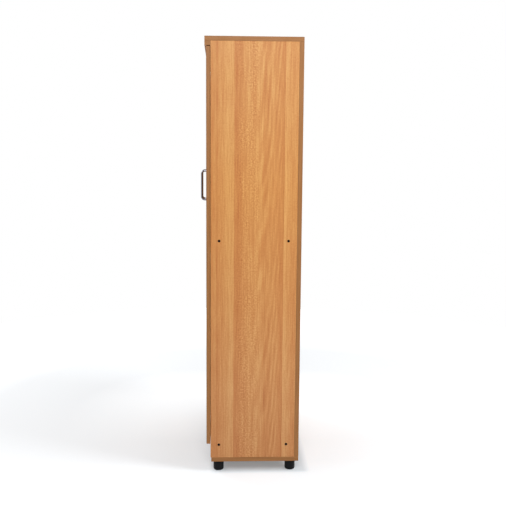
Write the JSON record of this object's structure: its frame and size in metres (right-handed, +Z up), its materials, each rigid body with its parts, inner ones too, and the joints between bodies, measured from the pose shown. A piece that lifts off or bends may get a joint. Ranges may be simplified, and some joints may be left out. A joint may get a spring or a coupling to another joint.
{
  "type": "two-door wardrobe",
  "caption": "Tall shallow wardrobe of beech laminate board on round feet, with cup-hinged overlay doors, bow handles, a hanging bay and a bay of shelves.",
  "frame": {"origin": "on the floor under the middle of the whole object, handles included", "axes": "+Z up, -Y out of the doors, +X to the right of someone facing the doors"},
  "size_m": [0.8, 0.4184, 1.8],
  "materials": {
    "board": "satin beech-print laminate on particle board, edges banded",
    "door_board": "satin beech-print laminate on particle board, edges banded and rounded",
    "chrome": "polished chrome plate",
    "nickel": "nickel-plated pressed steel",
    "black_plastic": "moulded black plastic",
    "screw_cap": "dark brown cap over a steel screw"
  },
  "bodies": {
    "carcass": {"top_panel": "board", "cornice_strip": "board", "left_side_panel": "board", "right_side_panel": "board", "partition_panel": "board", "back_panel": "board", "base_panel": "board", "plinth_board": "board", "deck_shelf": "board", "middle_shelf": "board", "lower_loose_shelf": "board", "upper_loose_shelf": "board", "hanging_rail": "chrome", "front_rail_bracket": "chrome", "rear_rail_bracket": "chrome", "front_left_foot": "black_plastic", "front_right_foot": "black_plastic", "rear_left_foot": "black_plastic", "rear_right_foot": "black_plastic", "deck_shelf_screw_front": "screw_cap", "deck_shelf_screw_rear": "screw_cap", "middle_shelf_screw_front": "screw_cap", "middle_shelf_screw_rear": "screw_cap", "lower_shelf_pin_front_left": "nickel", "lower_shelf_pin_front_right": "nickel", "lower_shelf_pin_rear_left": "nickel", "lower_shelf_pin_rear_right": "nickel", "upper_shelf_pin_front_left": "nickel", "upper_shelf_pin_front_right": "nickel", "upper_shelf_pin_rear_left": "nickel", "upper_shelf_pin_rear_right": "nickel", "left_lower_hinge_plate": "nickel", "left_middle_hinge_plate": "nickel", "left_upper_hinge_plate": "nickel", "right_lower_hinge_plate": "nickel", "right_middle_hinge_plate": "nickel", "right_upper_hinge_plate": "nickel", "left_lower_hinge_arm": "nickel", "left_middle_hinge_arm": "nickel", "left_upper_hinge_arm": "nickel", "right_lower_hinge_arm": "nickel", "right_middle_hinge_arm": "nickel", "right_upper_hinge_arm": "nickel"},
    "left_hinge_links": {"left_lower_hinge_link": "nickel", "left_middle_hinge_link": "nickel", "left_upper_hinge_link": "nickel"},
    "right_hinge_links": {"right_lower_hinge_link": "nickel", "right_middle_hinge_link": "nickel", "right_upper_hinge_link": "nickel"},
    "left_door": {"left_door": "door_board", "left_handle": "chrome", "left_lower_hinge_cup": "nickel", "left_middle_hinge_cup": "nickel", "left_upper_hinge_cup": "nickel"},
    "right_door": {"right_door": "door_board", "right_handle": "chrome", "right_lower_hinge_cup": "nickel", "right_middle_hinge_cup": "nickel", "right_upper_hinge_cup": "nickel"}
  },
  "joints": [
    {"name": "left_link_swing", "type": "hinge", "parent": "carcass", "child": "left_hinge_links", "pos_m": [-0.3655, -0.15955, 0.9], "axis": [0, 0, -1], "range_deg": [-23.5, 0]},
    {"name": "left_door_swing", "type": "hinge", "parent": "left_hinge_links", "child": "left_door", "pos_m": [-0.3901, -0.16885, 0.9], "axis": [0, 0, -1], "range_deg": [0, 123]},
    {"name": "right_link_swing", "type": "hinge", "parent": "carcass", "child": "right_hinge_links", "pos_m": [0.3655, -0.15955, 0.9], "axis": [0, 0, 1], "range_deg": [-23.5, 0]},
    {"name": "right_door_swing", "type": "hinge", "parent": "right_hinge_links", "child": "right_door", "pos_m": [0.3901, -0.16885, 0.9], "axis": [0, 0, 1], "range_deg": [0, 123]}
  ],
  "couplings": [
    {"joint": "left_link_swing", "follows": "left_door_swing", "ratio": -0.19},
    {"joint": "right_link_swing", "follows": "right_door_swing", "ratio": -0.19}
  ]
}
